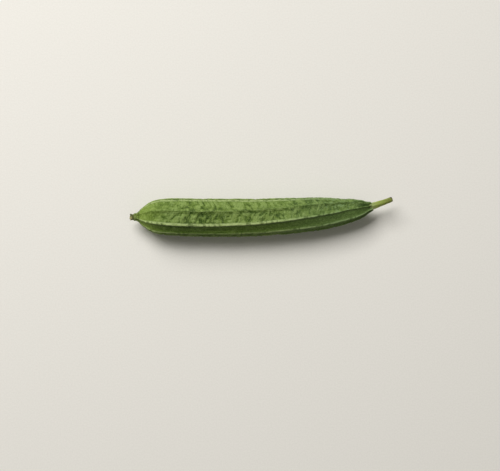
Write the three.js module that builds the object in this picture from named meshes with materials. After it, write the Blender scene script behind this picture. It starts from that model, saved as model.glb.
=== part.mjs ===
// A ridge gourd as picked, lying on its side: a ribbed fruit, its cut stalk and its withered flower.
// Millimetres, +Z up. The gourd runs along X, blossom end towards -X and stalk towards +X.
// The origin is the centre of its footprint box, on the surface that it rests on.

import * as THREE from "three";

// Driving dimensions.
const FRUIT_LENGTH = 226;
const STALK_LENGTH = 25;
const FLOWER_LENGTH = 3.8;
const FIN_HEIGHT = 1.6; // how far a full ridge stands out of the flat panels beside it
const FIN_WIDTH = 0.17; // from its crest to its foot, as a share of the way from one ridge to the next
const FIN_SHARPNESS = 1.5; // 2 gives a round crest and 1 a knife edge
const PANEL_BULGE = 0.3; // how far a panel rises above flat, half way between two full ridges
const MINOR_RIDGE_LOSS = 0.15; // every second ridge stands this much lower
const STALK_RIBS = 5;
const STALK_GROOVE = 0.12; // depth between two ribs, as a share of the stalk's radius
const SEPAL_COUNT = 5;
const SEPAL_FLARE = 0.22; // how far the sepals' tips stand out and in, as a share of the flower's radius
const JOIN_GAP = 0.3; // between neighbouring solids

// The centre line of fruit and stalk, from the blossom end. It bends towards +Y and rises at the stalk.
const SPINE = new THREE.CatmullRomCurve3([
  new THREE.Vector3(0, 0, 16),
  new THREE.Vector3(25, 0.35, 16.4),
  new THREE.Vector3(50, -0.35, 17.4),
  new THREE.Vector3(82, -0.7, 17.2),
  new THREE.Vector3(115, -0.35, 16.7),
  new THREE.Vector3(145, 1, 16.5),
  new THREE.Vector3(168, 2.6, 16),
  new THREE.Vector3(200, 5.4, 15.7),
  new THREE.Vector3(225, 9.3, 16.5),
  new THREE.Vector3(238, 13.2, 18.4),
  new THREE.Vector3(248, 16.9, 21.4),
]);

// Outlines: distance along the centre line, then the radius to the ridges' or ribs' crests.
const FRUIT_OUTLINE = outline(
  [0, 3.5],
  [3, 4.3],
  [6, 7],
  [10.5, 10.7],
  [16, 14.5],
  [25, 17.3],
  [42, 18.3],
  [75, 18.5],
  [120, 18.3],
  [165, 16.9],
  [186, 15.3],
  [203, 12.8],
  [215, 10.6],
  [222, 8.7],
  [FRUIT_LENGTH, 6],
);
const STALK_OUTLINE = outline([0, 4.3], [4, 3.65], [9, 3.15], [15, 2.8], [20, 2.6], [STALK_LENGTH, 2.5]);
const FLOWER_OUTLINE = outline([0, 2.8], [1.2, 3.1], [2.4, 2.7], [FLOWER_LENGTH, 3.2]);

// How the first ridge winds: distance along the centre line, then its degrees from the top towards -Y.
const FIRST_RIDGE = outline(
  [0, 26],
  [15, 29.5],
  [35, 32],
  [63, 33.5],
  [115, 27],
  [169, 15.3],
  [188, 9.8],
  [200, 5.2],
  [FRUIT_LENGTH, -4],
);

// Each ridge's degrees from the first one, towards -Y: at the blossom end, the thickest place and the stalk.
const THICKEST = 60;
const RIDGES = [
  [0, 0, 0],
  [41, 33, 48],
  [72, 66, 80],
  [101, 99, 111],
  [130, 132, 142],
  [163, 168, 176],
  [200, 203, 217],
  [239, 236, 258],
  [279, 268, 297],
  [315, 315, 322],
].map(([blossom, thickest, stalk]) => outline([0, blossom], [THICKEST, thickest], [FRUIT_LENGTH, stalk]));

// How fully the ridges are formed: distance along the centre line, then a share of their full height.
const RIDGE_STRENGTH = outline([0, 0.3], [12, 0.6], [30, 1], [185, 1], [210, 0.9], [FRUIT_LENGTH, 0.7]);

// How finely the surfaces are divided.
const POINTS_PER_RIDGE = 6;
const CREST_GATHER = 1.285; // above 1 draws each ring's points towards the crests
const RINGS_PER_STATION = 4;
const POINTS_PER_LOBE = 4; // around the stalk's ribs and the sepals
const STALK_RINGS = 12;
const FLOWER_RINGS = 6;
const HALVINGS = 24; // when an outline is searched for a distance
SPINE.arcLengthDivisions = 800;

const SKIN = new THREE.MeshStandardMaterial({ color: 0x5f7a3c, roughness: 0.55, metalness: 0 });
const STALK_GREEN = new THREE.MeshStandardMaterial({ color: 0x87954f, roughness: 0.7, metalness: 0 });
const DRY_FLOWER = new THREE.MeshStandardMaterial({ color: 0x8c8255, roughness: 0.9, metalness: 0 });

function outline(...stations) {
  return new THREE.SplineCurve(stations.map(([distance, value]) => new THREE.Vector2(distance, value)));
}

// The outline's value at a distance, read by halving the curve's parameter.
function valueAt(curve, distance) {
  let low = 0;
  let high = 1;
  for (let step = 0; step < HALVINGS; step++) {
    const middle = (low + high) / 2;
    if (curve.getPoint(middle).x < distance) low = middle;
    else high = middle;
  }
  return curve.getPoint(low).y;
}

// The centre line's point, upward and sideways (-Y) unit vectors at a distance from the blossom end.
// Before the blossom end the line runs straight on.
function spineFrame(distance) {
  const share = THREE.MathUtils.clamp(distance / (FRUIT_LENGTH + STALK_LENGTH), 0, 1);
  const along = SPINE.getTangentAt(share);
  const centre = SPINE.getPointAt(share);
  if (distance < 0) centre.addScaledVector(along, distance);
  const up = new THREE.Vector3(0, 0, 1).addScaledVector(along, -along.z).normalize();
  const side = new THREE.Vector3().crossVectors(along, up);
  return { centre, up, side };
}

// Lays a unit cylinder along the centre line. section(share, angle) gives the distance and radius of a
// point, where share runs from 0 to 1 along the cylinder and angle is measured from the top towards -Y.
function layAlongSpine(pointsAround, rings, section) {
  const geometry = new THREE.CylinderGeometry(1, 1, 1, pointsAround, rings);
  const position = geometry.getAttribute("position");
  const point = new THREE.Vector3();
  for (let i = 0; i < position.count; i++) {
    point.fromBufferAttribute(position, i);
    const onWall = Math.hypot(point.x, point.z);
    const { distance, radius, angle } = section(point.y + 0.5, Math.atan2(point.x, point.z));
    const { centre, up, side } = spineFrame(distance);
    centre.addScaledVector(up, onWall * radius * Math.cos(angle));
    centre.addScaledVector(side, onWall * radius * Math.sin(angle));
    // Ridges that bear weight are pressed flat.
    position.setXYZ(i, centre.x, centre.y, Math.max(centre.z, 0));
  }
  geometry.computeVertexNormals();
  return geometry;
}

// How far the skin lies inside the circle through the crests. share is 0 on a crest, 0.5 half way on.
function dropBelowCrest(share, crestRadius, strength) {
  const half = Math.PI / RIDGES.length;
  const offCentre = half * (1 - 2 * share);
  const flatPanel = crestRadius * (1 - Math.cos(half) / Math.cos(offCentre));
  const fin = FIN_HEIGHT * (1 - Math.exp(-((share / FIN_WIDTH) ** FIN_SHARPNESS)));
  const bulge = (PANEL_BULGE * (1 - Math.cos(2 * Math.PI * share))) / 2;
  return flatPanel + strength * (fin - bulge);
}

// Degrees from the first ridge at a place that counts ridges: 2.5 is half way from the third to the fourth.
function placeAngle(place, distance) {
  const ridge = Math.floor(place);
  const [start, end] = [ridge, ridge + 1].map((index) => valueAt(RIDGES.at(index % RIDGES.length), distance));
  return start + THREE.MathUtils.euclideanModulo(end - start, 360) * (place - ridge);
}

function fruitSection(lengthShare, evenAngle) {
  const { x: distance, y: crestRadius } = FRUIT_OUTLINE.getPoint(lengthShare);
  const strength = valueAt(RIDGE_STRENGTH, distance);
  const turns = (evenAngle / (2 * Math.PI)) * RIDGES.length + 0.5 / POINTS_PER_RIDGE;
  const ridge = Math.round(turns);
  const even = turns - ridge;
  const share = Math.sign(even) * 0.5 * (2 * Math.abs(even)) ** CREST_GATHER;
  const loss = ridge % 2 === 0 ? 0 : MINOR_RIDGE_LOSS * strength * (1 - 2 * Math.abs(share));
  const degrees = valueAt(FIRST_RIDGE, distance) + placeAngle(ridge + share, distance);
  return {
    distance,
    radius: crestRadius - loss - dropBelowCrest(Math.abs(share), crestRadius, strength),
    angle: THREE.MathUtils.degToRad(degrees),
  };
}

function stalkSection(lengthShare, angle) {
  const { x, y } = STALK_OUTLINE.getPoint(lengthShare);
  const groove = (STALK_GROOVE * (1 - Math.cos(STALK_RIBS * angle))) / 2;
  const distance = FRUIT_LENGTH + JOIN_GAP + x * (1 - JOIN_GAP / STALK_LENGTH);
  return { distance, radius: y * (1 - groove), angle };
}

// Sepals flare outwards as lobes towards the free end, which is at share 0.
function flowerSection(lengthShare, angle) {
  const { x, y } = FLOWER_OUTLINE.getPoint(lengthShare);
  const lobes = SEPAL_FLARE * (1 - lengthShare) * Math.cos(SEPAL_COUNT * angle);
  return { distance: x - FLOWER_LENGTH - JOIN_GAP, radius: y * (1 + lobes), angle };
}

function named(name, geometry, material) {
  const mesh = new THREE.Mesh(geometry, material);
  mesh.name = name;
  return mesh;
}

const fruitRings = (FRUIT_OUTLINE.points.length - 1) * RINGS_PER_STATION;
const fruit = layAlongSpine(RIDGES.length * POINTS_PER_RIDGE, fruitRings, fruitSection);
const stalk = layAlongSpine(STALK_RIBS * POINTS_PER_LOBE, STALK_RINGS, stalkSection);
const flower = layAlongSpine(SEPAL_COUNT * POINTS_PER_LOBE, FLOWER_RINGS, flowerSection);
const plant = new THREE.Group();
plant.add(named("fruit", fruit, SKIN));
plant.add(named("stalk", stalk, STALK_GREEN));
plant.add(named("flower_remnant", flower, DRY_FLOWER));

// The footprint's centre becomes the origin.
const footprint = new THREE.Box3().setFromObject(plant).getCenter(new THREE.Vector3());
plant.position.set(-footprint.x, -footprint.y, 0);

const gourd = new THREE.Group();
gourd.add(plant);

export default gourd;
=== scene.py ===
# A ridge gourd as picked, lying on its side on a pale floor: fruit, cut stalk and withered flower.
# Metres, +Z up, blossom end towards -X and stalk towards +X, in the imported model's frame.

import math
from collections import namedtuple

import bpy
import numpy as np
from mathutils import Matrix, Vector


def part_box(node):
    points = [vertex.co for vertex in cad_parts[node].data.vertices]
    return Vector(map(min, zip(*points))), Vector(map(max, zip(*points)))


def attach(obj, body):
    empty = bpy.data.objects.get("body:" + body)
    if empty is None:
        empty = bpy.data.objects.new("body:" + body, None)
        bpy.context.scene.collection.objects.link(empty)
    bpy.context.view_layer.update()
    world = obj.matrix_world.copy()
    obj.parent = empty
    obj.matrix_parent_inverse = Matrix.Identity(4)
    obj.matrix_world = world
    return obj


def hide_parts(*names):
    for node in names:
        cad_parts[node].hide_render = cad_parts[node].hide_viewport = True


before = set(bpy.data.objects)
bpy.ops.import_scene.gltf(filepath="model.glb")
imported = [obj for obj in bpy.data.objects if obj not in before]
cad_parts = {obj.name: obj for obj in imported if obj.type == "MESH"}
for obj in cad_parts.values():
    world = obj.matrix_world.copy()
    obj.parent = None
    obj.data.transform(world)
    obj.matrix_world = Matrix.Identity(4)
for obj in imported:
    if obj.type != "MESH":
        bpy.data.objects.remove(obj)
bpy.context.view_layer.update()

MM = 0.001
TURN = 2 * math.pi

# Driving dimensions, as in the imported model.
FRUIT_LENGTH = 226 * MM
STALK_LENGTH = 25 * MM
FLOWER_LENGTH = 3.8 * MM
FIN_HEIGHT = 1.6 * MM  # how far a full ridge stands out of the flat panels beside it
FIN_WIDTH = 0.17  # from its crest to its foot, as a share of the way from one ridge to the next
FIN_SHARPNESS = 1.5  # 2 gives a round crest and 1 a knife edge
PANEL_BULGE = 0.3 * MM  # how far a panel rises above flat, half way between two full ridges
MINOR_RIDGE_LOSS = 0.15 * MM  # every second ridge stands this much lower
STALK_RIBS = 5
SEPAL_COUNT = 5

# Driving dimensions of the visual model alone.
FIN_LEAN = 0.4  # how much wider than its mean a ridge is on one side, and narrower on the other
CREST_WIDTH = 0.13  # from a pale crest's middle to its edge, as a share of the way to the next ridge
FOOT_PLACE = 0.2  # from the crest to the painted shade in the groove at the ridge's foot, as the same share
FOOT_WIDTH = 0.07
VALLEY_START = 0.22  # where a crest gives way to the valley, as the same share
TONGUE_START = 224.5 * MM  # the ridges run on as tongues over the stalk's base
TONGUE_RISE = 2.9 * MM
TONGUE_LENGTH = 3.2 * MM
TONGUE_WIDTH = 0.25
TONGUE_DROP = 0.5 * MM
NECK_LENGTH = 5 * MM  # of the neck that the withered flower sits on
NECK_CREASE_PLACE = 4.8 * MM
NECK_CREASE_WIDTH = 0.9 * MM
NECK_CREASE_DEPTH = 0.45 * MM
STALK_GROOVE = 0.13  # depth between two ribs, as a share of the stalk's radius
STALK_TWIST = 0.5  # how far the ribs wind along the stalk, in radians
STALK_CUT_START = 24.4 * MM
STALK_CUT_RADIUS = 2.2 * MM
STALK_CUT_SLANT = 0.3
SEPAL_BASE_RADIUS = 2.4 * MM  # how far from the axis the sepals start
SEPAL_SPREAD = 0.8 * MM  # about how much further out their tips are
SEPAL_HALF_WIDTH = 1.85 * MM
SEPAL_HALF_THICKNESS = 0.24 * MM
PLUG_RADIUS = 2.6 * MM
PLUG_TAPER = 1 * MM  # how much slimmer its end is
PLUG_SINK = 0.3 * MM  # how deep the plug of petals sits in the fruit

# Where the outline is slimmer than this, ridges, relief, broad unevenness and the stalk's relief fade.
RIDGE_FADE_RADIUS = 4 * MM
RELIEF_FADE_RADIUS = 3 * MM
BROAD_FADE_RADIUS = 16 * MM
STALK_FADE_RADIUS = 2 * MM

# Towards the stalk, ridges wobble more and folds are shallower.
STALKWARDS_START = 90 * MM
STALKWARDS_LENGTH = 70 * MM

# Each kind of lump: its size, as one length or as one along, across and up, then the height that its
# noise is scaled by, and the seed that sets it apart from the other kinds.
Lumps = namedtuple("Lumps", "size height seed")
RIDGE_WANDER = Lumps(14 * MM, 0.45 * MM, seed=1)
RIDGE_WOBBLE = Lumps(4 * MM, 0.2 * MM, seed=2)
CREST_SWELL = Lumps(9 * MM, 0.22 * MM, seed=3)
CREST_BEADS = Lumps(3.4 * MM, 0.18 * MM, seed=4)
CREST_NICKS = Lumps(1.7 * MM, 0.4 * MM, seed=16)
FOLDS = Lumps(np.array([3.6, 8, 8]) * MM, 0.6 * MM, seed=5)
PUCKERS = Lumps(np.array([2.4, 3.6, 3.6]) * MM, 0.45 * MM, seed=11)
SMALL_LUMPS = Lumps(2.4 * MM, 0.13 * MM, seed=7)
TINY_LUMPS = Lumps(1.3 * MM, 0.09 * MM, seed=8)
BROAD_UNEVENNESS = Lumps(38 * MM, 0.3 * MM, seed=9)
NECK_KNOBS = Lumps(np.array([1.6, 1.4, 1.4]) * MM, 0.35 * MM, seed=17)
STALK_FIBRES = Lumps(np.array([9, 0.9, 0.9]) * MM, 0.1 * MM, seed=12)
STALK_LUMPS = Lumps(2.4 * MM, 0.12 * MM, seed=13)
SEPAL_RAGS = Lumps(0.8 * MM, 0.5 * MM, seed=18)
SEPAL_CRINKLES = Lumps(1.1 * MM, 0.55 * MM, seed=14)
PLUG_LUMPS = Lumps(0.9 * MM, 0.3 * MM, seed=15)

# The same for how patchy the folds are and how much they slant, where the height is a share.
PATCHES = Lumps(np.array([26, 14, 14]) * MM, 0.9, seed=6)
SLANTS = Lumps(18 * MM, 0.9, seed=10)

NICK_THRESHOLD = 0.15  # the higher, the rarer the nicks
FOLD_LEVEL = 0.45  # folds and puckers run from 0 to 2, and stand out of the panel above this

# How rough the panel after each ridge is, and how straw-coloured each sepal's tip is.
PANEL_ROUGHNESS = np.array([0.3, 0.5, 0.6, 0.5, 0.6, 0.5, 0.6, 0.7, 0.9, 1])
SEPAL_DRYNESS = (1, 0.5, 0.4, 0.3, 0)

# The centre line of fruit and stalk, from the blossom end.
SPINE = MM * np.array(
    [
        (0, 0, 16),
        (25, 0.35, 16.4),
        (50, -0.35, 17.4),
        (82, -0.7, 17.2),
        (115, -0.35, 16.7),
        (145, 1, 16.5),
        (168, 2.6, 16),
        (200, 5.4, 15.7),
        (225, 9.3, 16.5),
        (238, 13.2, 18.4),
        (248, 16.9, 21.4),
    ]
)

# Outlines: distance along the centre line, then the radius to the crests. They start and end at
# about the axis.
FRUIT_OUTLINE = MM * np.array(
    [
        (0.5, 0.3),
        (-0.1, 2.2),
        (0, 3.4),
        (3, 4.3),
        (6, 7),
        (10.5, 10.7),
        (16, 14.5),
        (25, 17.3),
        (42, 18.3),
        (75, 18.5),
        (120, 18.3),
        (165, 16.9),
        (186, 15.3),
        (203, 12.8),
        (215, 10.6),
        (222, 8.4),
        (225.5, 6.1),
        (227.4, 4.8),
        (227.6, 3.4),
        (226.6, 0.3),
    ]
)
STALK_OUTLINE = MM * np.array(
    [
        (-1, 0.3),
        (-0.9, 3),
        (0, 4.3),
        (4, 3.65),
        (9, 3.15),
        (15, 2.8),
        (20, 2.6),
        (24.3, 2.5),
        (25, 2.2),
        (25.1, 1.6),
        (24.9, 0.2),
    ]
)

# How the first ridge winds: distance along the centre line, then its angle from the top towards -Y.
FIRST_RIDGE = np.array(
    [
        (0, 26),
        (15, 29.5),
        (35, 32),
        (63, 33.5),
        (115, 27),
        (169, 15.3),
        (188, 9.8),
        (200, 5.2),
        (226, -4),
    ]
) * (MM, math.radians(1))

# Each ridge's angle from the first one, towards -Y: at the blossom end, the thickest place and the stalk.
RIDGE_STATIONS = MM * np.array([0, 60, 226])
RIDGES = np.radians(
    [
        (0, 0, 0),
        (41, 33, 48),
        (72, 66, 80),
        (101, 99, 111),
        (130, 132, 142),
        (163, 168, 176),
        (200, 203, 217),
        (239, 236, 258),
        (279, 268, 297),
        (315, 315, 322),
    ]
)

# How pale each ridge's crest is at those stations: partly the crests' own pale colour, partly painted
# highlight on the ridges that face the light. Above 1, the pale band is wider too.
RIDGE_PALENESS_AND_HIGHLIGHT = np.array(
    [
        (1.05, 1.35, 0.4),
        (1.2, 0.55, 1),
        (0.6, 0.6, 0.6),
        (0.8, 0.7, 0.6),
        (0.6, 0.6, 0.6),
        (0.8, 0.7, 0.6),
        (0.6, 0.6, 0.6),
        (0.8, 0.8, 0.7),
        (1.3, 1, 2),
        (0.4, 0.45, 0.35),
    ]
)

# How dark the painted shade in the groove at each ridge's foot is, on the side of the next ridge, away from
# the light.
GROOVE_SHADE_DARKNESS = np.array([1, 1.2, 0.6, 0.6, 0.6, 0.6, 0.6, 0.4, 0.1, 0.8])

# How fully the ridges are formed: distance along the centre line, then a share of their full height.
RIDGE_STRENGTH = np.array([(0, 0.3), (12, 0.6), (30, 1), (185, 1), (210, 0.9), (226, 0.7)]) * (MM, 1)

# How finely the surfaces are divided.
FRUIT_RINGS = 400
POINTS_PER_RIDGE = 24
CREST_GATHER = 1.285  # above 1 draws each ring's points towards the crests
STALK_RINGS = 110
STALK_POINTS = 120
PLUG_RINGS = 40
PLUG_POINTS = 48
SEPAL_RINGS = 34
SEPAL_POINTS = 26
CURVE_STEPS = 60
LATTICE_SEED = 11
LATTICE_SIZE = 32
SEED_STRIDE = 7.31  # how far along each axis of the lattice one seed's noise lies from the next's
LANE_STRIDE = 9  # how many lumps apart neighbouring ridges read it


# Curves and noise.


def smooth_curve(points):
    """Many points along a centripetal Catmull-Rom curve through the given ones."""
    reach = np.vstack([2 * points[0] - points[1], points, 2 * points[-1] - points[-2]])
    knots = np.append(0, np.cumsum(np.linalg.norm(np.diff(reach, axis=0), axis=1) ** 0.5))
    stretches = []
    for i in range(len(points) - 1):
        k, p = knots[i : i + 4], reach[i : i + 4]
        t = np.linspace(k[1], k[2], CURVE_STEPS, endpoint=False)[:, None]
        a = [((k[j + 1] - t) * p[j] + (t - k[j]) * p[j + 1]) / (k[j + 1] - k[j]) for j in range(3)]
        b = [((k[j + 2] - t) * a[j] + (t - k[j]) * a[j + 1]) / (k[j + 2] - k[j]) for j in range(2)]
        stretches.append(((k[2] - t) * b[0] + (t - k[1]) * b[1]) / (k[2] - k[1]))
    return np.vstack([*stretches, points[-1:]])


def lengths_along(curve):
    return np.append(0, np.cumsum(np.linalg.norm(np.diff(curve, axis=0), axis=1)))


def even_rings(outline, count):
    """Distances and radii of rings that stand evenly along an outline."""
    curve = smooth_curve(outline)
    reach = lengths_along(curve)
    stations = np.linspace(0, reach[-1], count)
    return [np.interp(stations, reach, curve[:, i])[:, None] for i in range(2)]


def value_at(outline, distance):
    curve = smooth_curve(outline)
    return np.interp(distance, curve[:, 0], curve[:, 1])


SPINE_CURVE = smooth_curve(SPINE)
SPINE_REACH = lengths_along(SPINE_CURVE)
SPINE_TANGENT = np.gradient(SPINE_CURVE, SPINE_REACH, axis=0)


def bend(straight):
    """Takes points from round a straight axis to round the centre line.

    A straight point is its distance from the blossom end, then how far it is from the axis towards -Y
    and upwards.
    """
    length = FRUIT_LENGTH + STALK_LENGTH
    share = np.clip(straight[..., 0] / length, 0, 1)
    reach = share * SPINE_REACH[-1]
    centre = np.stack([np.interp(reach, SPINE_REACH, SPINE_CURVE[:, i]) for i in range(3)], -1)
    along = np.stack([np.interp(reach, SPINE_REACH, SPINE_TANGENT[:, i]) for i in range(3)], -1)
    along /= np.linalg.norm(along, axis=-1, keepdims=True)
    up = np.array([0, 0, 1]) - along * along[..., 2:]
    up /= np.linalg.norm(up, axis=-1, keepdims=True)
    side = np.cross(along, up)
    beyond = straight[..., :1] - share[..., None] * length
    return centre + along * beyond + side * straight[..., 1:2] + up * straight[..., 2:]


def round_axis(distance, radius, angle):
    """Straight points at an angle from the top, towards -Y."""
    return np.stack(np.broadcast_arrays(distance, radius * np.sin(angle), radius * np.cos(angle)), -1)


LATTICE = np.random.default_rng(LATTICE_SEED).uniform(-1, 1, (LATTICE_SIZE, LATTICE_SIZE, LATTICE_SIZE))


def ease(t):
    return t * t * (3 - 2 * t)


def bell(offset, width):
    return np.exp(-((offset / width) ** 2))


def noise(points, kind):
    """Smooth lumps of a kind's size and seed, from -1 to 1."""
    place = points / kind.size + SEED_STRIDE * kind.seed
    low = np.floor(place).astype(int)
    t = ease(place - low)
    total = 0
    for corner in np.ndindex(2, 2, 2):
        weight = np.prod(np.where(corner, t, 1 - t), axis=-1)
        x, y, z = np.moveaxis((low + corner) % len(LATTICE), -1, 0)
        total = total + weight * LATTICE[x, y, z]
    return total


def lumps(points, kind):
    return kind.height * noise(points, kind)


# Meshes.


def ring_mesh(name, tubes):
    """One mesh of closed tubes.

    A tube is a dictionary. Its points are rings, which fans close at both ends. Each other entry holds a
    value or a vector for each point, or one for each ring or each place round it, and becomes an attribute.
    """
    faces = []
    values = {key: [] for key in tubes[0]}
    start = 0
    for tube in tubes:
        count, around = tube["points"].shape[:2]
        index = start + np.arange(count * around).reshape(count, around)
        turned = np.roll(index, -1, axis=1)
        first = start + count * around
        last = first + 1
        faces += np.stack([index[:-1], turned[:-1], turned[1:], index[1:]], -1).reshape(-1, 4).tolist()
        faces += [(first, b, a) for a, b in zip(index[0].tolist(), turned[0].tolist())]
        faces += [(last, a, b) for a, b in zip(index[-1].tolist(), turned[-1].tolist())]
        for key, data in tube.items():
            if data.ndim == 2:
                data = np.broadcast_to(data, (count, around))
            ends = [data[row].reshape(around, -1).mean(0) for row in (0, -1)]
            values[key].append(np.vstack([data.reshape(count * around, -1), *ends]))
        start = last + 1
    mesh = bpy.data.meshes.new(name)
    mesh.from_pydata(np.vstack(values.pop("points")).tolist(), [], faces)
    for key, parts in values.items():
        data = np.vstack(parts).astype(np.float32)
        kind, field = ("FLOAT_VECTOR", "vector") if data.shape[1] == 3 else ("FLOAT", "value")
        mesh.attributes.new(key, kind, "POINT").data.foreach_set(field, data.ravel())
    mesh.shade_smooth()
    mesh.validate()
    return add_object(name, mesh)


def add_object(name, data):
    made = bpy.data.objects.new(name, data)
    bpy.context.scene.collection.objects.link(made)
    return made


# The fruit.


def drop_below_crest(off_crest, leaning, crest_radius, strength):
    """How far the skin lies inside the circle through the crests.

    off_crest is 0 on a crest and 0.5 half way to the next. leaning is the same, but grows faster where
    the ridge is narrow and slower where it is wide.
    """
    half = math.pi / len(RIDGES)
    flat_panel = crest_radius * (1 - math.cos(half) / np.cos(half * (1 - 2 * off_crest)))
    fin = FIN_HEIGHT * (1 - np.exp(-((leaning / FIN_WIDTH) ** FIN_SHARPNESS)))
    bulge = PANEL_BULGE * (1 - np.cos(TURN * off_crest)) / 2
    return flat_panel + strength * (fin - bulge)


def along_ridges(table, distance):
    """A row for each distance and a column for each ridge, from a table with a row for each ridge."""
    return np.hstack([value_at(np.column_stack([RIDGE_STATIONS, row]), distance) for row in table])


def angle_from_first_ridge(place, distance):
    """Angles at places that count ridges: 2.5 is half way from the third to the fourth."""
    lines = np.hstack([along_ridges(RIDGES, distance), np.full_like(distance, TURN)])
    low = np.floor(place).astype(int)[0]
    return lines[:, low] + (lines[:, low + 1] - lines[:, low]) * (place - low)


def ridge_by_ridge(distance, place, kind):
    """Noise along each ridge, blended from one to the next. place counts ridges round the fruit."""
    low = np.floor(place)
    blend = ease(place - low)

    def lane(ridge):
        apart = ridge % len(RIDGES) * LANE_STRIDE * kind.size
        return noise(np.stack(np.broadcast_arrays(distance, apart, 0.0), -1), kind)

    return (1 - blend) * lane(low) + blend * lane(low + 1)


def fruit_tube():
    """The fruit's rings, with the values that its skin is painted by."""
    distance, crest_radius = even_rings(FRUIT_OUTLINE, FRUIT_RINGS)
    strength = value_at(RIDGE_STRENGTH, distance) * np.minimum(crest_radius / RIDGE_FADE_RADIUS, 1)

    turns = np.arange(len(RIDGES) * POINTS_PER_RIDGE)[None] / POINTS_PER_RIDGE
    ridge = np.round(turns)
    even = turns - ridge
    share = np.sign(even) * 0.5 * (2 * np.abs(even)) ** CREST_GATHER
    place = ridge + share
    off_crest = np.abs(share)
    leaning = off_crest / (1 - FIN_LEAN * np.sign(share) * (1 - 2 * off_crest))
    angle = value_at(FIRST_RIDGE, distance) + angle_from_first_ridge(place % len(RIDGES), distance)
    loss = (ridge % 2) * MINOR_RIDGE_LOSS * strength * (1 - 2 * off_crest)
    radius = crest_radius - loss - drop_below_crest(off_crest, leaning, crest_radius, strength)
    smooth = round_axis(distance, radius, angle)

    crest = bell(leaning, CREST_WIDTH) * strength
    panel = (1 - bell(leaning, CREST_WIDTH)) * strength
    ridge_number = ridge.astype(int)[0] % len(RIDGES)
    paleness_and_highlight = along_ridges(RIDGE_PALENESS_AND_HIGHLIGHT, distance)[:, ridge_number]

    # Ridges wander a little from side to side, and their crests rise and fall and are nicked across.
    stalkwards = np.clip((distance - STALKWARDS_START) / STALKWARDS_LENGTH, 0, 1)
    wobble = (1 + stalkwards) * RIDGE_WOBBLE.height * ridge_by_ridge(distance, place, RIDGE_WOBBLE)
    wander = RIDGE_WANDER.height * ridge_by_ridge(distance, place, RIDGE_WANDER) + wobble
    angle = angle + wander * strength / np.maximum(radius, RIDGE_FADE_RADIUS)
    nick = np.clip(ridge_by_ridge(distance, place, CREST_NICKS) - NICK_THRESHOLD, 0, 1)
    rise = CREST_SWELL.height * ridge_by_ridge(distance, place, CREST_SWELL)
    rise = rise + CREST_BEADS.height * ridge_by_ridge(distance, place, CREST_BEADS)
    rise = rise - CREST_NICKS.height * nick

    # Panels are puckered by folds that come in patches. Each panel's folds slant their own way.
    from_middle = share - 0.5 * np.sign(share)
    panel_number = np.where(share > 0, ridge, ridge - 1) % len(RIDGES)
    slant = 0.1 + 0.5 * np.sin(1.6 * panel_number - 1.234) + lumps(smooth, SLANTS)
    slide = slant * from_middle * radius * TURN / len(RIDGES)
    folded = smooth + np.stack(np.broadcast_arrays(slide, 0.0, 0.0), -1)
    fold = (np.abs(noise(folded, FOLDS)) * 2 - FOLD_LEVEL) * (1 - 0.5 * stalkwards)
    pucker = np.abs(noise(folded, PUCKERS)) * 2 - FOLD_LEVEL
    roughness = PANEL_ROUGHNESS[panel_number.astype(int)]
    patch = (0.5 + 0.5 * np.clip(0.5 + lumps(smooth, PATCHES), 0, 1)) * roughness
    relief = panel * patch * (FOLDS.height * fold + PUCKERS.height * pucker) + crest * rise

    # Small lumps all over, and broad unevenness.
    relief = relief + lumps(smooth, SMALL_LUMPS) + lumps(smooth, TINY_LUMPS)
    relief = relief + lumps(smooth, BROAD_UNEVENNESS) * np.minimum(crest_radius / BROAD_FADE_RADIUS, 1)

    # A crease rings the neck that the withered flower sits on, and the neck is knobbly.
    relief = relief - NECK_CREASE_DEPTH * bell(distance - NECK_CREASE_PLACE, NECK_CREASE_WIDTH)
    relief = relief + lumps(smooth, NECK_KNOBS) * np.exp(-((distance / NECK_LENGTH) ** 4))

    # The ridges run on over the stalk's base as tongues.
    tongue = np.clip((distance - TONGUE_START) / TONGUE_RISE, 0, 1) * bell(off_crest, TONGUE_WIDTH)
    relief = relief * np.minimum(crest_radius / RELIEF_FADE_RADIUS, 1)
    radius = radius + relief - TONGUE_DROP * tongue
    straight = round_axis(distance + TONGUE_LENGTH * tongue, radius, angle)
    # Where shade is painted in the groove at each ridge's foot, on the side of the next ridge.
    foot = bell(leaning - FOOT_PLACE, FOOT_WIDTH) * (share > 0) * strength
    return {
        "points": bend(straight),
        "straight": straight,
        # The crest's paint: partly its own pale colour, partly painted highlight.
        "crest": crest * paleness_and_highlight * np.minimum(1.5, 1 / strength),
        "nick": nick * crest,
        "foot": foot * GROOVE_SHADE_DARKNESS[ridge_number],
        "valley": 1 - bell(off_crest, VALLEY_START),
        "folded": folded,
        "rough": patch,
        "smooth": 1 - roughness,
        "fold": patch * (panel * fold + 0.5 * pucker),
    }


# The stalk.


def stalk_tube():
    """The stalk's rings. Its base sits in the fruit, and its cut end is slightly dished and slanting."""
    distance, radius = even_rings(STALK_OUTLINE, STALK_RINGS)
    angle = np.linspace(0, TURN, STALK_POINTS, endpoint=False)[None]
    from_rib = angle - FIRST_RIDGE[-1, 1] - STALK_TWIST * distance / STALK_LENGTH
    rib = (0.5 + 0.5 * np.cos(STALK_RIBS * from_rib)) ** 0.7
    smooth = round_axis(distance, radius, angle)
    relief = lumps(smooth, STALK_FIBRES) + lumps(smooth, STALK_LUMPS)
    relief = relief * np.minimum(radius / STALK_FADE_RADIUS, 1)
    full = radius * (1 - STALK_GROOVE * (1 - rib)) + relief
    slant = STALK_CUT_SLANT * np.clip(distance / STALK_LENGTH, 0, 1) ** 8
    slanted = distance + slant * full * np.cos(angle)
    straight = round_axis(FRUIT_LENGTH + slanted, full, angle)
    return {
        "points": bend(straight),
        "straight": straight,
        "rib": rib,
        "from_tip": STALK_LENGTH - distance,
        "cut": (distance > STALK_CUT_START) * (1 - np.clip(radius / STALK_CUT_RADIUS, 0, 1)),
    }


# The withered flower.


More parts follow.
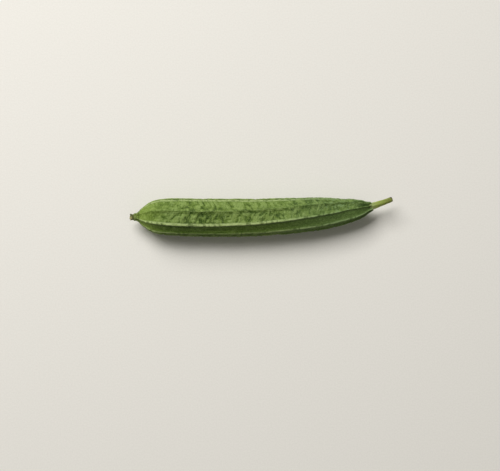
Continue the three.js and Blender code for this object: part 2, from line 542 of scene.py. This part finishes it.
def sepal_tube(number):
    """One shrivelled sepal: a broad, ragged blade that leans out beside its neighbours in a ring."""
    along = np.linspace(0, 1, SEPAL_RINGS)[:, None]
    around = np.linspace(0, TURN, SEPAL_POINTS, endpoint=False)[None]
    length = FLOWER_LENGTH * (0.88 + 0.12 * math.sin(2.1 * number + 0.6))
    middle = number / SEPAL_COUNT * TURN + 0.2 * math.sin(3.7 * number) + 0.5
    lean = SEPAL_BASE_RADIUS + (SEPAL_SPREAD + 0.3 * MM * math.sin(5.1 * number)) * along**1.5
    half_width = SEPAL_HALF_WIDTH * (1 - 0.65 * along**4) + 0.1 * MM
    across = half_width * np.cos(around)
    thick = SEPAL_HALF_THICKNESS * np.sin(around)
    ragged_at = np.stack(np.broadcast_arrays(across, number * 7 * MM, 0 * along), -1)
    distance = -length * along - along**2 * lumps(ragged_at, SEPAL_RAGS)
    crinkle_at = np.stack(np.broadcast_arrays(distance, across + number * 5 * MM, 0.0), -1)
    crinkle = along * lumps(crinkle_at, SEPAL_CRINKLES)
    angle = middle + across / np.maximum(lean, 1.6 * MM) + 0.35 * along * math.sin(1.3 * number)
    straight = round_axis(distance, lean + thick + crinkle, angle)
    dry = SEPAL_DRYNESS[number] * np.clip(2 * along - 0.5, 0, 1)
    return {"points": bend(straight), "straight": straight, "tip": along, "dry": dry}


def petal_plug_tube():
    """What is left of the petals: a crumpled, twisted plug.

    Its rings follow one another towards -X, so their points run backwards, for faces that point outwards.
    """
    along = np.linspace(0, 1, PLUG_RINGS)[:, None]
    around = np.linspace(TURN, 0, PLUG_POINTS, endpoint=False)[None]
    twisted = around + 1.4 * along
    radius = (PLUG_RADIUS - PLUG_TAPER * along**1.5) * np.minimum(1, 6 * (1.02 - along)) ** 0.5
    creases = 1 + 0.2 * np.cos(7 * twisted + 2 * along) + 0.12 * np.cos(3 * twisted - 4 * along)
    distance = PLUG_SINK - (FLOWER_LENGTH + PLUG_SINK) * along
    crumpled = along * lumps(round_axis(distance, radius, around), PLUG_LUMPS)
    straight = round_axis(distance, radius * creases + crumpled, around)
    dry = np.full_like(along, 0.1)
    return {"points": bend(straight), "straight": straight, "tip": 0.6 * along, "dry": dry}


# Materials.


def srgb(red, green, blue):
    """A colour as painted on screen, from 0 to 255, as the linear colour that shaders take."""
    share = np.array([red, green, blue]) / 255
    linear = np.where(share <= 0.04045, share / 12.92, ((share + 0.055) / 1.055) ** 2.4)
    return (*linear.tolist(), 1)


class Shader:
    """A material's node tree, with a short call for each kind of node that it uses."""

    def __init__(self, name):
        self.material = bpy.data.materials.new(name)
        self.material.use_nodes = True
        self.tree = self.material.node_tree
        self.surface = self.tree.nodes["Principled BSDF"]

    def add(self, kind, inputs, **settings):
        node = self.tree.nodes.new("ShaderNode" + kind)
        for key, value in settings.items():
            setattr(node, key, value)
        for key, value in inputs.items():
            self.put(node.inputs[key], value)
        return node

    def put(self, socket, value):
        if isinstance(value, bpy.types.NodeSocket):
            self.tree.links.new(value, socket)
        else:
            socket.default_value = value

    def attribute(self, name):
        return self.add("Attribute", {}, attribute_name=name)

    def number(self, name):
        return self.attribute(name).outputs["Fac"]

    def vector(self, name):
        return self.attribute(name).outputs["Vector"]

    def noise(self, vector, size, detail=2.0, roughness=0.5):
        """Noise with lumps of that size along each axis, in millimetres."""
        per_lump = tuple(1 / (length * MM) for length in size)
        scaled = self.add("VectorMath", {0: vector, 1: per_lump}, operation="MULTIPLY")
        inputs = {"Vector": scaled.outputs[0], "Scale": 1.0, "Detail": detail, "Roughness": roughness}
        return self.add("TexNoise", inputs).outputs["Fac"]

    def ramp(self, value, low, high, to_low=0.0, to_high=1.0):
        """The value's way from low to high, eased, as a way from to_low to to_high."""
        inputs = {"Value": value, "From Min": low, "From Max": high, "To Min": to_low, "To Max": to_high}
        return self.add("MapRange", inputs, interpolation_type="SMOOTHSTEP").outputs["Result"]

    def times(self, a, b):
        return self.add("Math", {0: a, 1: b}, operation="MULTIPLY").outputs[0]

    def plus(self, a, b):
        return self.add("Math", {0: a, 1: b}, operation="ADD").outputs[0]

    def mix(self, share, first, second):
        # The colour sockets of a Mix node: 6 and 7 go in and 2 comes out.
        return self.add("Mix", {0: share, 6: first, 7: second}, data_type="RGBA").outputs[2]

    def paint(self, colour, layers):
        """The colour with each layer over it, in turn. A layer is its share, then its colour."""
        for share, over in layers:
            colour = self.mix(share, colour, over)
        return colour

    def bump(self, height, distance, normal=None):
        inputs = {"Height": height, "Distance": distance, "Strength": 1.0}
        if normal is not None:
            inputs["Normal"] = normal
        return self.add("Bump", inputs).outputs["Normal"]

    def finish(self, **inputs):
        for key, value in inputs.items():
            self.put(self.surface.inputs[key.replace("_", " ")], value)
        return self.material


# The skin's colours.
BASE_DARK = srgb(66, 90, 26)
BASE_LIGHT = srgb(94, 118, 44)
MOTTLE_LIGHT = srgb(118, 140, 68)
MOTTLE_DARK = srgb(48, 72, 18)
FOLD_PALE_AND_PAINTED_LIGHT = srgb(138, 160, 90)
FOLD_DARK_AND_PAINTED_SHADE = srgb(40, 62, 14)
SPECKLE_LIGHT = srgb(130, 150, 84)
SPECKLE_DARK = srgb(42, 64, 16)
STREAK_LIGHT = srgb(126, 148, 76)
STREAK_DARK = srgb(42, 66, 18)
SMOOTH_DARK = srgb(52, 76, 14)
SMOOTH_LIGHT = srgb(80, 104, 36)
GROOVE_SHADE = srgb(34, 56, 12)
STALK_HALF = srgb(98, 122, 76)
STALK_HALF_FLECK = srgb(124, 152, 106)
FINE_DARK = srgb(52, 76, 22)
FINE_LIGHT = srgb(142, 164, 100)
BLOSSOM_DARK = srgb(108, 132, 48)
BLOSSOM_LIGHT = srgb(138, 160, 78)
NECK_DARK = srgb(76, 88, 36)
NECK_LIGHT = srgb(134, 146, 92)
NECK_CREASE = srgb(60, 76, 16)
STALK_VALLEY_SHADE = srgb(32, 54, 16)
CREST_AND_HIGHLIGHT_BLOSSOM_HALF = srgb(166, 183, 124)
CREST_AND_HIGHLIGHT_STALK_HALF = srgb(132, 156, 104)
NICK = srgb(58, 78, 26)


def skin():
    """Mottled, streaked and folded green skin, with pale crests that are partly painted highlight, and
    painted shade below ridges and in the valleys by the stalk.
    """
    s = Shader("skin")
    straight, folded = s.vector("straight"), s.vector("folded")
    along = s.add("SeparateXYZ", {0: straight}).outputs[0]
    fold, crest, foot, rough = s.number("fold"), s.number("crest"), s.number("foot"), s.number("rough")
    valley, nick, smooth = s.number("valley"), s.number("nick"), s.number("smooth")

    broad = s.noise(straight, (45, 16, 16), 2)
    mottle = s.noise(straight, (6, 3.2, 3.2), 4, 0.62)
    speckle = s.noise(straight, (2, 1.6, 1.6), 3, 0.6)
    fine = s.noise(straight, (0.9, 0.8, 0.8), 3, 0.6)
    streak = s.noise(folded, (1.8, 6, 6), 3, 0.6)
    grain = s.noise(straight, (30, 1.2, 1.2), 3)
    worn = s.noise(straight, (4.5, 1.6, 1.6), 3, 0.65)

    # Streaks follow the folds, and fade where a panel is smooth.
    streaky = s.times(s.ramp(along, 70 * MM, 150 * MM, 0.8, 0.9), rough)
    light_streak = s.times(s.ramp(streak, 0.52, 0.7), streaky)
    dark_streak = s.times(s.ramp(streak, 0.48, 0.31), streaky)
    smooth_green = s.mix(s.ramp(grain, 0.35, 0.65), SMOOTH_DARK, SMOOTH_LIGHT)

    # The stalk half is an evener, greyer green with flecks, and the blossom end a yellower one.
    evener = s.times(s.ramp(along, 110 * MM, 190 * MM), s.ramp(rough, 0.2, 0.6, 0.42, 0.3))
    flecked = s.times(s.ramp(along, 160 * MM, 200 * MM), s.ramp(rough, 0.3, 0.7, 0, 0.6))
    fleck = s.times(flecked, s.ramp(mottle, 0.5, 0.62))
    blossom_green = s.mix(s.ramp(speckle, 0.4, 0.6), BLOSSOM_DARK, BLOSSOM_LIGHT)

    # The neck under the flower is greyer, with a dark crease. Valleys that run on to the stalk get painted
    # shade, less where the panel is smooth.
    neck = s.mix(s.ramp(speckle, 0.42, 0.58), NECK_DARK, NECK_LIGHT)
    crease = s.times(s.ramp(along, 2.5 * MM, 4.6 * MM), s.ramp(along, 7.6 * MM, 5 * MM))
    crease = s.times(crease, s.ramp(speckle, 0.7, 0.4))
    stalk_valley_shade = s.times(s.ramp(along, 210 * MM, 221 * MM), s.ramp(valley, 0.1, 0.7))
    stalk_valley_shade = s.times(stalk_valley_shade, s.ramp(rough, 0.15, 0.5, 0.2, 0.8))

    # Crests are pale where they aren't worn, and darker on the stalk half: partly their own colour, partly
    # painted highlight.
    pale_crest_and_highlight = s.times(s.ramp(crest, 0.3, 0.85), s.ramp(worn, 0.34, 0.56, 0.3, 0.95))
    crest_and_highlight_green = s.mix(s.ramp(along, 110 * MM, 200 * MM), CREST_AND_HIGHLIGHT_BLOSSOM_HALF, CREST_AND_HIGHLIGHT_STALK_HALF)

    colour = s.paint(
        s.mix(s.ramp(broad, 0.35, 0.65), BASE_DARK, BASE_LIGHT),
        [
            (s.ramp(mottle, 0.42, 0.66), MOTTLE_LIGHT),
            (s.ramp(mottle, 0.5, 0.3, 0, 0.65), MOTTLE_DARK),
            # Raised folds paler and creases darker: partly the skin's own colour, partly painted light and
            # shade.
            (s.ramp(fold, 0.04, 0.4, 0, 0.75), FOLD_PALE_AND_PAINTED_LIGHT),
            (s.ramp(fold, -0.06, -0.3, 0, 0.8), FOLD_DARK_AND_PAINTED_SHADE),
            (s.ramp(speckle, 0.55, 0.75, 0, 0.5), SPECKLE_LIGHT),
            (s.ramp(speckle, 0.45, 0.25, 0, 0.45), SPECKLE_DARK),
            (light_streak, STREAK_LIGHT),
            (dark_streak, STREAK_DARK),
            (s.ramp(smooth, 0.25, 0.7, 0, 0.65), smooth_green),
            # Painted shade in the groove below each ridge.
            (s.ramp(foot, 0.3, 1.0, 0, 0.6), GROOVE_SHADE),
            (evener, STALK_HALF),
            (fleck, STALK_HALF_FLECK),
            (s.ramp(fine, 0.53, 0.34, 0, 0.42), FINE_DARK),
            (s.ramp(fine, 0.5, 0.66, 0, 0.35), FINE_LIGHT),
            (s.ramp(along, 36 * MM, 8 * MM, 0, 0.7), blossom_green),
            (s.ramp(along, 4.5 * MM, 2 * MM, 0, 0.75), neck),
            (crease, NECK_CREASE),
            # Painted shade in the valleys by the stalk.
            (stalk_valley_shade, STALK_VALLEY_SHADE),
            # Pale crests: partly their own colour, partly painted highlight.
            (pale_crest_and_highlight, crest_and_highlight_green),
            (s.ramp(nick, 0.08, 0.4, 0, 0.5), NICK),
        ],
    )
    normal = s.bump(fine, 0.13 * MM)
    normal = s.bump(speckle, 0.3 * MM, normal)
    normal = s.bump(s.times(streak, streaky), 0.6 * MM, normal)
    roughness = s.ramp(mottle, 0.3, 0.7, 0.6, 0.48)
    return s.finish(Base_Color=colour, Roughness=roughness, Specular_IOR_Level=0.1, Normal=normal)


# The stalk's colours.
STALK_DARK = srgb(120, 136, 48)
STALK_LIGHT = srgb(148, 163, 76)
STALK_BETWEEN_RIBS = srgb(100, 118, 38)
STALK_BASE = srgb(146, 160, 106)
STALK_TIP = srgb(104, 108, 34)
STALK_BLOTCH = srgb(150, 158, 84)
# Painted light on the stalk's -Y side, which faces away from the key light.
STALK_MINUS_Y_PAINTED_LIGHT = srgb(186, 194, 122)
STALK_ROOT = srgb(52, 74, 24)
DRIED_BROWN = srgb(58, 48, 20)
CUT_FACE = srgb(204, 190, 140)


def stalk_green():
    """Fibrous yellow-green: paler towards the base, dark at the root, dried brown round the cut, with
    painted light on its -Y side.
    """
    s = Shader("stalk")
    straight = s.vector("straight")
    rib, from_tip, cut = s.number("rib"), s.number("from_tip"), s.number("cut")
    fibre = s.noise(straight, (12, 0.5, 0.5), 4, 0.6)
    blotch = s.noise(straight, (6, 2.5, 2.5), 3)
    towards_minus_y = s.add("SeparateXYZ", {0: straight}).outputs[1]

    # The cut has dried brown, most of all on its +Y side.
    plus_y_side = s.ramp(towards_minus_y, 0.8 * MM, -1.6 * MM, -0.5, 0.4)
    brown = s.plus(s.ramp(from_tip, 2.6 * MM, 0.5 * MM), plus_y_side)
    brown = s.plus(brown, s.ramp(blotch, 0.55, 0.4, -0.2, 0.2))

    colour = s.paint(
        s.mix(s.ramp(fibre, 0.35, 0.65), STALK_DARK, STALK_LIGHT),
        [
            (s.ramp(rib, 0.6, 0.1, 0, 0.4), STALK_BETWEEN_RIBS),
            (s.ramp(from_tip, 14 * MM, 21 * MM, 0, 0.7), STALK_BASE),
            (s.ramp(from_tip, 12 * MM, 3 * MM, 0, 0.6), STALK_TIP),
            (s.ramp(blotch, 0.5, 0.75, 0, 0.5), STALK_BLOTCH),
            # Painted light: the stalk's shaded -Y side is painted paler.
            (s.ramp(towards_minus_y, 0.8 * MM, 3 * MM, 0, 0.5), STALK_MINUS_Y_PAINTED_LIGHT),
            (s.ramp(from_tip, 21.5 * MM, 23.5 * MM, 0, 0.9), STALK_ROOT),
            (s.ramp(brown, 0.5, 1.1, 0, 0.9), DRIED_BROWN),
            (s.ramp(cut, 0, 0.15), CUT_FACE),
        ],
    )
    return s.finish(
        Base_Color=colour,
        Roughness=0.6,
        Specular_IOR_Level=0.32,
        Subsurface_Weight=0.5,
        Subsurface_Radius=(1.0, 1.0, 0.4),
        Subsurface_Scale=3 * MM,
        Normal=s.bump(fibre, 0.3 * MM),
    )


# The withered flower's colours.
WITHERED_DARK = srgb(66, 72, 34)
WITHERED_LIGHT = srgb(100, 108, 62)
WITHERED_BLOTCH = srgb(70, 68, 30)
WITHERED_TIP = srgb(74, 62, 30)
STRAW_DARK = srgb(166, 160, 106)
STRAW_LIGHT = srgb(214, 208, 156)


def dry_flower():
    """Veined grey-green, browner at the tips, and straw where it is driest."""
    s = Shader("dry_flower")
    straight = s.vector("straight")
    vein = s.noise(straight, (3, 0.4, 0.4), 4, 0.65)
    blotch = s.noise(straight, (1.6, 1.2, 1.2), 3)
    straw = s.mix(s.ramp(vein, 0.35, 0.65), STRAW_DARK, STRAW_LIGHT)
    colour = s.paint(
        s.mix(s.ramp(vein, 0.35, 0.65), WITHERED_DARK, WITHERED_LIGHT),
        [
            (s.ramp(blotch, 0.45, 0.7, 0, 0.5), WITHERED_BLOTCH),
            (s.ramp(s.number("tip"), 0.8, 1, 0, 0.4), WITHERED_TIP),
            (s.number("dry"), straw),
        ],
    )
    normal = s.bump(vein, 0.3 * MM)
    return s.finish(Base_Color=colour, Roughness=0.85, Specular_IOR_Level=0.2, Normal=normal)


def pale_floor():
    s = Shader("pale_floor")
    grain = s.noise(s.add("TexCoord", {}).outputs["Object"], (1.5, 1.5, 1.5), 3)
    colour = s.mix(s.ramp(grain, 0.3, 0.7), srgb(228, 226, 222), srgb(232, 230, 226))
    return s.finish(Base_Color=colour, Roughness=0.9)


# The gourd.


def stand_for(piece, node, material):
    piece.data.materials.append(material)
    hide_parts(node)
    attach(piece, "root")


fruit = fruit_tube()
stalk = stalk_tube()
flower = [petal_plug_tube(), *(sepal_tube(number) for number in range(SEPAL_COUNT))]

# The centre line's own place in the frame follows from the fruit's box: its blossom end and its two sides.
lowest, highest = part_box("fruit")
found_low, found_high = fruit["points"].min((0, 1)), fruit["points"].max((0, 1))
middle_y = (lowest.y + highest.y) / 2
shift = np.array([lowest.x - found_low[0], middle_y - (found_low[1] + found_high[1]) / 2, 0])
for tube in (fruit, stalk, *flower):
    tube["points"] = tube["points"] + shift
# Ridges that bear weight are pressed flat.
fruit["points"][..., 2] = np.maximum(fruit["points"][..., 2], 0)

stand_for(ring_mesh("gourd_fruit", [fruit]), "fruit", skin())
stand_for(ring_mesh("gourd_stalk", [stalk]), "stalk", stalk_green())
stand_for(ring_mesh("withered_flower", flower), "flower_remnant", dry_flower())

# Floor, light and camera.

FLOOR_HALF = 4.0
AIM = Vector((-10.5, -18.1, 17)) * MM
CAMERA_DISTANCE = 1.2
CAMERA_ELEVATION = math.radians(85)
LENS = 90  # and the sensor's width, in millimetres, as Blender takes them
SENSOR_WIDTH = 36
WORLD_COLOUR = (1, 0.97, 0.84, 1)
WORLD_STRENGTH = 0.14


def point_at(thing, target):
    thing.rotation_euler = (target - thing.location).to_track_quat("-Z", "Y").to_euler()


def area_light(name, place, size, power, colour):
    data = bpy.data.lights.new(name, "AREA")
    data.size = size
    data.energy = power
    data.color = colour
    light = add_object(name, data)
    light.location = place
    point_at(light, Vector((0, 0, 0)))


floor_mesh = bpy.data.meshes.new("floor")
corners = [(x * FLOOR_HALF, y * FLOOR_HALF, 0) for x, y in ((-1, -1), (1, -1), (1, 1), (-1, 1))]
floor_mesh.from_pydata(corners, [], [(0, 1, 2, 3)])
floor_mesh.materials.append(pale_floor())
add_object("floor", floor_mesh)

area_light("key", place=(-0.85, 1.3, 2.0), size=1.6, power=72, colour=(1, 0.985, 0.95))
area_light("fill", place=(1.2, -1.0, 2.2), size=2.0, power=3, colour=(1, 0.99, 0.96))
world = bpy.data.worlds.new("world")
world.use_nodes = True
background = world.node_tree.nodes["Background"].inputs
background["Color"].default_value = WORLD_COLOUR
background["Strength"].default_value = WORLD_STRENGTH
bpy.context.scene.world = world
bpy.context.scene.view_settings.view_transform = "Standard"

camera_data = bpy.data.cameras.new("camera")
camera_data.lens = LENS
camera_data.sensor_width = SENSOR_WIDTH
camera = add_object("camera", camera_data)
camera_side = Vector((0, -math.cos(CAMERA_ELEVATION), math.sin(CAMERA_ELEVATION)))
camera.location = AIM + CAMERA_DISTANCE * camera_side
point_at(camera, AIM)
bpy.context.scene.camera = camera
